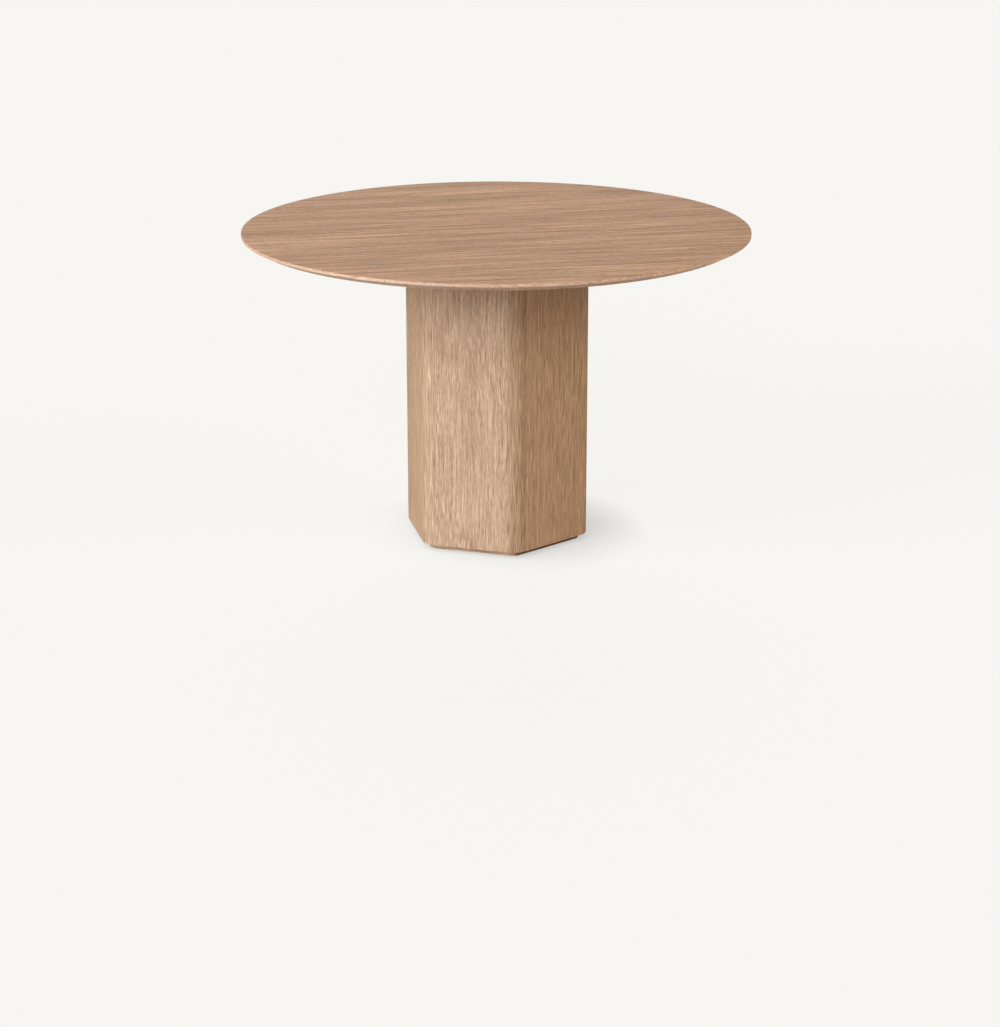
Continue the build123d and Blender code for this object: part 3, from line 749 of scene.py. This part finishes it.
def makePad(i):
    # grip ribs round the side, a rounded foot and a shallow hollow under it, and a socket for the stud
    low, high = span(f"foot_pad_{i}")
    socket = span(f"foot_stud_{i}")[0]
    rounding, r = pad["rounding"], stud["radius"] + pad["play"]
    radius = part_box(f"foot_pad_{i}")[1].x - footCentre(i)[0]
    ribbed = radius - pad["ribDepth"] * np.clip(2.5 * np.cos(pad["ribs"] * around(pad["steps"])) - 1, 0, 1)
    arc = np.linspace(0, math.pi / 2, pad["arcPoints"])
    edgeRows = zip(radius - rounding + rounding * np.sin(arc), low + rounding - rounding * np.cos(arc))
    hollowTop, shoulder, lead = low + pad["hollowDepth"], high - rounding, pad["ribLead"]
    rows = [(0, hollowTop), (pad["hollow"] - pad["hollowDepth"], hollowTop), (pad["hollow"], low), *edgeRows,
            (ribbed, low + rounding + lead), (ribbed, shoulder - lead), (radius, shoulder),
            (radius - rounding, high), (r, high), (r, socket), (0, socket)]
    addTurned(f"levelling_pad_{i}", rows, pad["steps"], nylon, f"foot_{i}", f"foot_pad_{i}",
              [footCentre(i)])


def makeStud(i):
    # plain in the pad, hexagon collar chamfered on both faces, then a rolled thread
    low, high = span(f"foot_stud_{i}")
    collarLow, collarHigh = span(f"foot_pad_{i}")[1], span("foot_sleeves")[0] - stud["collarGap"]
    r, cut, steps = stud["radius"], stud["chamfer"], stud["steps"]
    hexed = hexagon(stud["flats"], around(steps))
    faceEdge = np.minimum(hexed, stud["flats"] / 2 + stud["crownPlay"])
    rows = [(0, low), (r, low), (r, collarLow), (faceEdge, collarLow), (hexed, collarLow + cut),
            (hexed, collarHigh - cut), (faceEdge, collarHigh), (r, collarHigh),
            thread(r, stud["threadDepth"], stud["pitch"], collarHigh + stud["undercut"],
                   high - stud["tipLength"], steps),
            (r - stud["tipCut"], high), (0, high)]
    addTurned(f"levelling_stud_{i}", rows, steps, zincPlate, f"foot_{i}", f"foot_stud_{i}",
              [footCentre(i)])


for i in range(1, feet + 1):
    makePad(i)
    makeStud(i)

sleeve = {"outer": 7 * mm, "flange": 12 * mm, "flangeHeight": 2 * mm, "arris": 0.4 * mm, "bore": 5.05 * mm,
          "threadDepth": 0.5 * mm, "threadLead": 0.5 * mm, "flutes": 12, "fluteDepth": 0.5 * mm,
          "fluteLead": 1 * mm, "endCut": 0.7 * mm, "steps": 72}


def makeSleeves():
    # a flange below, flutes that grip the board, and a thread cut outwards from a bore that clears the stud
    low, high = span("foot_sleeves")
    outer, flange, flangeTop = sleeve["outer"], sleeve["flange"], low + sleeve["flangeHeight"]
    arris, fluteLead, threadLead = sleeve["arris"], sleeve["fluteLead"], sleeve["threadLead"]
    steps = sleeve["steps"]
    fluted = outer - sleeve["fluteDepth"] * np.clip(np.cos(sleeve["flutes"] * around(steps)), 0, 1)
    mouth = sleeve["bore"] + sleeve["threadDepth"]
    inner = thread(mouth, sleeve["threadDepth"], stud["pitch"], low + threadLead, high - threadLead, steps)
    rows = [(mouth, low), (flange - arris, low), (flange, low + arris), (flange, flangeTop),
            (outer, flangeTop), (fluted, flangeTop + fluteLead), (fluted, high - fluteLead),
            (outer - sleeve["endCut"], high), (mouth, high), downwards(inner)]
    addTurned("threaded_sleeves", rows, steps, zincPlate, "table", "foot_sleeves",
              [footCentre(i) for i in range(1, feet + 1)], ring=True)


makeSleeves()

insert = {"outer": 5 * mm, "outerPitch": 2.5 * mm, "outerDepth": 0.7 * mm, "lip": 0.3 * mm, "bore": 3 * mm,
          "innerPitch": 1 * mm, "innerDepth": 0.4 * mm, "count": 8, "steps": 48}


def makeInserts():
    # a coarse outer thread that bites into the board, and a fine one inside for the plate screws
    low, high = span("top_inserts")
    steps, end, lip = insert["steps"], insert["outer"] - insert["outerDepth"], insert["lip"]
    mouth = insert["bore"] + insert["innerDepth"]
    outside = thread(insert["outer"], insert["outerDepth"], insert["outerPitch"], low + lip, high - lip,
                     steps)
    inside = thread(mouth, insert["innerDepth"], insert["innerPitch"], low + lip, high - lip, steps)
    rows = [(mouth, low), (end, low), outside, (end, high), (mouth, high), downwards(inside)]
    addTurned("threaded_inserts", rows, steps, zincPlate, "table", "top_inserts",
              ringPlaces("top_inserts", insert["outer"], insert["count"]), ring=True)


makeInserts()

dowel = {"radius": 5 * mm, "chamfer": 1 * mm, "flutes": 16, "fluteDepth": 0.35 * mm, "count": 3, "steps": 96}


def makeDowels():
    # fluted, with chamfered ends
    low, high = span("locating_dowels")
    r, cut, steps = dowel["radius"], dowel["chamfer"], dowel["steps"]
    fluted = r - dowel["fluteDepth"] * np.clip(np.cos(dowel["flutes"] * around(steps)), 0, 1)
    rows = [(0, low), (r - cut, low), (fluted, low + cut), (fluted, high - cut), (r - cut, high), (0, high)]
    addTurned("fluted_dowels", rows, steps, beech, "table", "locating_dowels",
              ringPlaces("locating_dowels", r, dowel["count"]))


makeDowels()
print("fastenings and feet made")


stage = {"paper": "#F7F6F2", "bounce": 0.6, "halfWidth": 150, "shadowShare": 0.12, "contactReach": 0.17,
         "contactDepth": 0.52, "contactLean": (-1.0, -0.45, 1.0), "lift": 1.055,
         "world": "#FFFFFD", "worldStrength": 0.2}


def makeFloor():
    # white paper: it lights the table as a plain diffuse surface, and the eye sees it evenly lit,
    # with a little of the cast shadow and a soft contact shadow
    half = stage["halfWidth"]
    mesh = bpy.data.meshes.new("floor")
    corners = [(-half, -half, 0), (half, -half, 0), (half, half, 0), (-half, half, 0)]
    mesh.from_pydata(corners, [], [(0, 1, 2, 3)])
    material = bpy.data.materials.new("white_paper_floor")
    material.use_nodes = True
    tree = material.node_tree
    tree.nodes.clear()
    paper = np.array(linear(stage["paper"])[:3])
    bounce = addNode(tree, "BsdfDiffuse", Color=(*(stage["bounce"] * paper / paper.max()), 1))
    leanX, leanY, leanZ = stage["contactLean"]
    towardsKey = addNode(tree, "CombineXYZ", X=leanX, Y=leanY, Z=leanZ)
    contact = addNode(tree, "AmbientOcclusion", {"samples": 8}, Distance=stage["contactReach"],
                      Normal=towardsKey.outputs[0])  # leaning to the key light, so the far side is darker
    dimmed = addNode(tree, "MapRange", Value=contact.outputs["AO"], To_Max=stage["lift"],
                     To_Min=stage["lift"] - stage["contactDepth"])
    lit = addNode(tree, "Emission", Color=(*paper, 1), Strength=dimmed.outputs[0])
    seen = addNode(tree, "MixShader", _0=stage["shadowShare"], _1=lit.outputs[0], _2=bounce.outputs[0])
    ray = addNode(tree, "LightPath")
    mixed = addNode(tree, "MixShader", _0=ray.outputs["Is Camera Ray"], _1=bounce.outputs[0],
                    _2=seen.outputs[0])
    addNode(tree, "OutputMaterial", Surface=mixed.outputs[0])
    mesh.materials.append(material)
    floor = bpy.data.objects.new("floor", mesh)
    bpy.context.scene.collection.objects.link(floor)


def makeWorld():
    world = bpy.data.worlds.new("studio")
    bpy.context.scene.world = world
    world.use_nodes = True
    tree = world.node_tree
    light = tree.nodes["Background"]
    light.inputs["Color"].default_value = linear(stage["world"])
    light.inputs["Strength"].default_value = stage["worldStrength"]
    backdrop = addNode(tree, "Background", Color=linear(stage["paper"]), Strength=1.0)
    ray = addNode(tree, "LightPath")
    mixed = addNode(tree, "MixShader", _0=ray.outputs["Is Camera Ray"], _1=light.outputs[0],
                    _2=backdrop.outputs[0])
    tree.links.new(mixed.outputs[0], tree.nodes["World Output"].inputs["Surface"])


# far soft lights: name, azimuth from +X towards +Y, elevation, strength, colour and spread, with angles
# in degrees; the four keys are one tall soft light on the left, made of four panels
lights = (
    ("keyLow", 205, 14, 1.68, "#F4FAFF", 24),
    ("keyHigh", 212, 36, 0.76, "#F9FDFF", 36),
    ("keyFront", 245, 24, 1.33, "#F4F9FF", 30),
    ("keyLeft", 180, 24, 0.33, "#FFF7E9", 30),
    ("fill", 325, 30, 0.68, "#FFF0D4", 30),
    ("back", 80, 35, 0.69, "#FFFDFB", 40),
)


def addSun(name, azimuth, elevation, strength, colour, spread):
    lamp = bpy.data.lights.new(name, "SUN")
    lamp.energy, lamp.color, lamp.angle = strength, linear(colour)[:3], math.radians(spread)
    sun = bpy.data.objects.new(name, lamp)
    sun.rotation_euler = (0, math.radians(90 - elevation), math.radians(azimuth))
    bpy.context.scene.collection.objects.link(sun)


makeFloor()
makeWorld()
for light in lights:
    addSun(*light)

camera = {"distance": 6, "height": 1.9718, "pitch": 17.827, "azimuth": -12.48, "offset": 0.0088,
          "lens": 90.38, "sensor": 36, "farthest": 1000}


def makeCamera():
    data = bpy.data.cameras.new("camera")
    data.lens, data.sensor_width, data.clip_end = camera["lens"], camera["sensor"], camera["farthest"]
    seen = bpy.data.objects.new("camera", data)
    a = math.radians(camera["azimuth"])
    right, back = np.array([math.cos(a), math.sin(a)]), np.array([math.sin(a), -math.cos(a)])
    x, y = camera["offset"] * right + camera["distance"] * back
    seen.location = (x, y, camera["height"])
    seen.rotation_euler = (math.radians(90 - camera["pitch"]), 0, a)
    bpy.context.scene.collection.objects.link(seen)
    bpy.context.scene.camera = seen


makeCamera()
bpy.context.scene.view_settings.view_transform = "Standard"
print("stage made")
